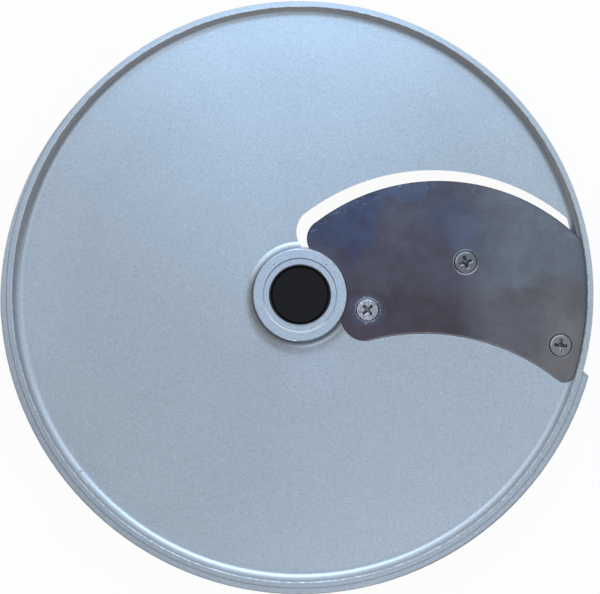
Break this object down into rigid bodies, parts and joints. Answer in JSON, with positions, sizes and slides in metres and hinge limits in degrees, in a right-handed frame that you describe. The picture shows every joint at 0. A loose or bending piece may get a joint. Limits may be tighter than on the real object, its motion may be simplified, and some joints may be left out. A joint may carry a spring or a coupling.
{
  "type": "slicing disc",
  "caption": "Round cast disc with a raised rim and hub, a curved slicing blade screwed beside a slot, and a drive socket under the hub.",
  "frame": {"origin": "on the shaft axis, at the lower end of the hub, where the drive socket opens", "axes": "+Z along the shaft axis towards the blade side, +X from the hub across the blade towards the rim"},
  "size_m": [0.2026, 0.2027, 0.02],
  "materials": {
    "cast_alloy": "satin casting, fine speckled grain",
    "blade_steel": "polished and smeared",
    "black_plastic": "matt moulded",
    "screw_steel": "satin"
  },
  "bodies": {
    "root": {"disc_body": "cast_alloy", "blade": "blade_steel", "drive_bush": "black_plastic", "screw_inner": "screw_steel", "screw_middle": "screw_steel", "screw_outer": "screw_steel"}
  },
  "joints": []
}
